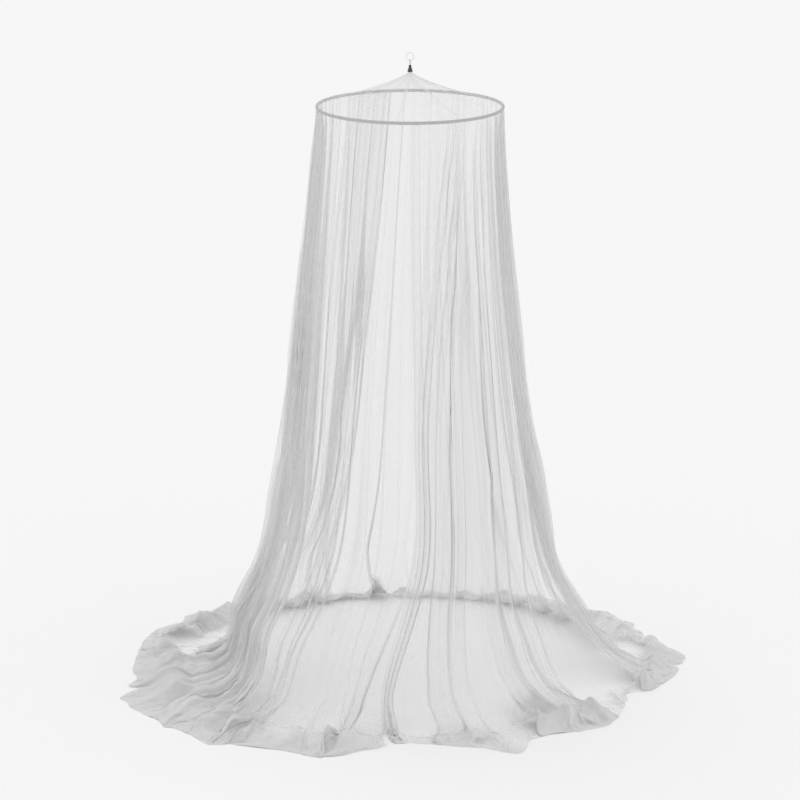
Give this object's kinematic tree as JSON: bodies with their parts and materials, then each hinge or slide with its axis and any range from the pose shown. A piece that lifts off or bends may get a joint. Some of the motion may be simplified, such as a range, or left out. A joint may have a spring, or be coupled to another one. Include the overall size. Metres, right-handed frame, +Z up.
{
  "type": "mosquito net canopy on a hoop",
  "caption": "Sheer white mosquito net hung from a ring over a round hoop, its gathered wall falling in folds and heaped on the floor",
  "frame": {"origin": "where a hook bears on the inside of the hanging ring's top; the floor lies 2.054 m below it", "axes": "+Z up, -Y towards the front with the opening, +X to the right seen from the front"},
  "size_m": [1.8473, 1.6063, 2.0566],
  "materials": {
    "net": "fine sheer white knitted polyester net",
    "tape": "woven white tape, grey where it is doubled over the hoop",
    "hoop": "plain grey",
    "cap": "dark grey",
    "ring": "pale and slightly glossy"
  },
  "bodies": {
    "root": {"net_wall": "net", "net_top": "net", "hoop_casing": "tape", "hoop": "hoop", "apex_cap": "cap", "hanging_loop": "tape", "hanging_ring": "ring"}
  },
  "joints": []
}
